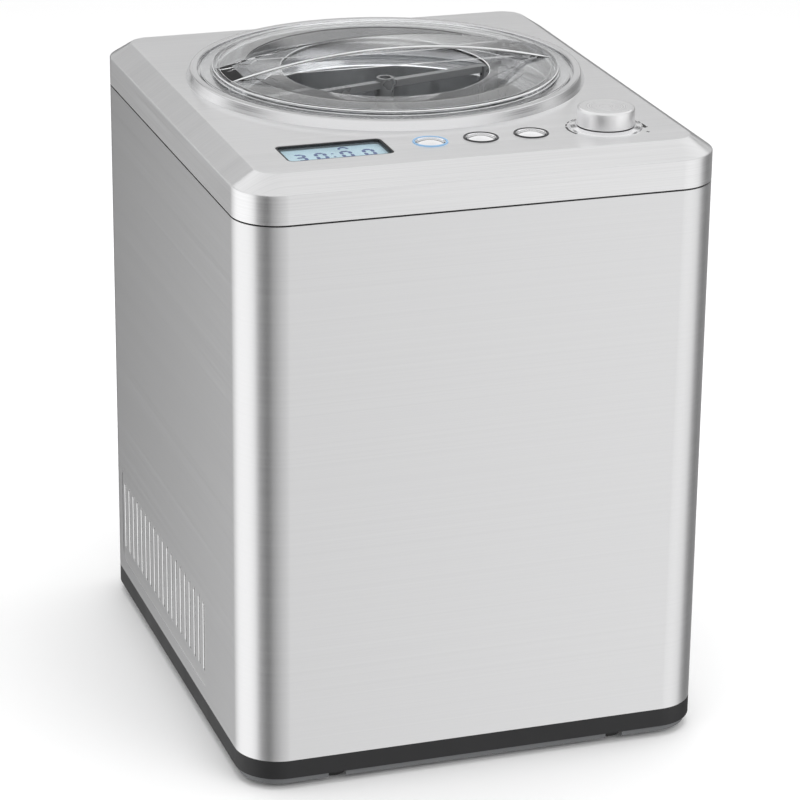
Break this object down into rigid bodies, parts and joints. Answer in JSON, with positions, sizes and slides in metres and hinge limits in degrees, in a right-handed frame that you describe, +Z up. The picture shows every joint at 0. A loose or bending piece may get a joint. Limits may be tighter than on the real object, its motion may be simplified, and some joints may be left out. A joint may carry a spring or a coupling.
{
  "type": "ice cream maker",
  "caption": "Upright countertop compressor ice cream maker: stainless case, removable bowl with motor-driven paddle under a clear bridge-handled lid, display, buttons and knob on top.",
  "frame": {"origin": "on the surface it stands on, at the middle of the footprint", "axes": "+Z up, front (the side nearest the controls) faces -Y, +X to the right when facing the front"},
  "size_m": [0.282, 0.324, 0.388],
  "materials": {
    "brushed_steel": "brushed",
    "brushed_top": "fine brushed",
    "black_plastic": "moulded, satin",
    "grey_paint": "powder coat",
    "rubber": "matt",
    "zinc_steel": "zinc plated sheet",
    "screw_steel": "plated",
    "clear_plastic": "clear moulded",
    "silver_plastic": "satin silver",
    "collar_steel": "polished spun",
    "aluminium": "anodised",
    "silicone": "translucent grey",
    "copper": "drawn copper tube",
    "foam": "rigid foam",
    "bowl_steel": "spun stainless",
    "paddle_plastic": "frosted, translucent",
    "shaft_steel": "ground",
    "gear_nylon": "nylon",
    "bronze": "sintered bronze",
    "motor_paint": "enamel",
    "compressor_paint": "gloss black enamel",
    "grey_plastic": "moulded",
    "display_glass": "clear lens",
    "lcd": "backlit display",
    "light_ring": "lit, pale blue",
    "chrome": "polished",
    "circuit_board": "solder mask"
  },
  "bodies": {
    "housing": {"base_tray": "black_plastic", "body_shell": "brushed_steel", "bottom_pan": "grey_paint", "button_rings": "chrome", "collar_ring": "collar_steel", "compressor_bolts": "screw_steel", "compressor_grommets": "rubber", "compressor_pump": "zinc_steel", "compressor_shell": "compressor_paint", "condenser": "aluminium", "control_board": "circuit_board", "cord_gland": "rubber", "discharge_line": "copper", "display_frame": "black_plastic", "display_lens": "display_glass", "encoder_body": "grey_plastic", "evaporator_coil": "copper", "fan_motor": "motor_paint", "fan_shroud": "black_plastic", "feet": "rubber", "filter_drier": "copper", "foot_screws": "screw_steel", "freezer_well": "aluminium", "gearbox_cover": "grey_plastic", "gearbox_housing": "grey_plastic", "gearbox_screws": "screw_steel", "idler_pin": "shaft_steel", "insulation_jacket": "foam", "knob_flange": "silver_plastic", "lcd_module": "lcd", "liquid_line": "copper", "motor_can": "motor_paint", "power_board": "circuit_board", "power_light_ring": "light_ring", "rear_panel": "zinc_steel", "rear_panel_screws": "screw_steel", "shaft_bushes": "bronze", "shaft_seal": "rubber", "start_relay": "grey_plastic", "suction_line": "copper", "support_deck": "zinc_steel", "tact_switches": "grey_plastic", "top_housing": "brushed_top", "transformer": "motor_paint", "well_gasket": "silicone"},
    "drive_shaft": {"drive_shaft": "shaft_steel", "output_gear": "gear_nylon"},
    "idler_gear": {"idler_gear": "gear_nylon"},
    "motor_rotor": {"motor_armature": "shaft_steel", "motor_pinion": "screw_steel"},
    "cooling_fan": {"fan_blade": "grey_plastic", "fan_shaft": "shaft_steel"},
    "control_knob": {"control_knob": "silver_plastic", "encoder_shaft": "shaft_steel"},
    "power_button": {"power_button": "chrome"},
    "menu_button": {"menu_button": "chrome"},
    "start_button": {"start_button": "chrome"},
    "bowl": {"bowl": "bowl_steel"},
    "paddle": {"paddle": "paddle_plastic"},
    "lid": {"lid": "clear_plastic"}
  },
  "joints": [
    {"name": "drive_spin", "type": "hinge", "parent": "housing", "child": "drive_shaft", "pos_m": [0, 0.0252, 0.2], "axis": [0, 0, 1], "continuous": true},
    {"name": "idler_spin", "type": "hinge", "parent": "housing", "child": "idler_gear", "pos_m": [0, -0.0273, 0.19], "axis": [0, 0, 1], "continuous": true},
    {"name": "motor_spin", "type": "hinge", "parent": "housing", "child": "motor_rotor", "pos_m": [0.036, -0.0273, 0.14], "axis": [0, 0, 1], "continuous": true},
    {"name": "fan_spin", "type": "hinge", "parent": "housing", "child": "cooling_fan", "pos_m": [-0.085, 0.03, 0.087], "axis": [1, 0, 0], "continuous": true},
    {"name": "knob_turn", "type": "hinge", "parent": "housing", "child": "control_knob", "pos_m": [0.086, -0.1145, 0.37], "axis": [0, 0, 1], "continuous": true},
    {"name": "power_press", "type": "slide", "parent": "housing", "child": "power_button", "axis": [0, 0, -1], "range_m": [0, 0.0012], "stiffness_N_per_m": 600, "springref_m": -0.0006},
    {"name": "menu_press", "type": "slide", "parent": "housing", "child": "menu_button", "axis": [0, 0, -1], "range_m": [0, 0.0012], "stiffness_N_per_m": 600, "springref_m": -0.0006},
    {"name": "start_press", "type": "slide", "parent": "housing", "child": "start_button", "axis": [0, 0, -1], "range_m": [0, 0.0012], "stiffness_N_per_m": 600, "springref_m": -0.0006},
    {"name": "bowl_lift", "type": "slide", "parent": "housing", "child": "bowl", "axis": [0, 0, 1], "range_m": [0, 0.2]},
    {"name": "lid_lift", "type": "slide", "parent": "bowl", "child": "lid", "axis": [0, 0, 1], "range_m": [0, 0.12]},
    {"name": "paddle_spin", "type": "hinge", "parent": "bowl", "child": "paddle", "pos_m": [0, 0.0252, 0.3], "axis": [0, 0, 1], "continuous": true}
  ],
  "couplings": [
    {"joint": "idler_spin", "follows": "drive_spin", "ratio": -3.6667},
    {"joint": "motor_spin", "follows": "drive_spin", "ratio": 14.667},
    {"joint": "paddle_spin", "follows": "drive_spin", "ratio": 1}
  ]
}
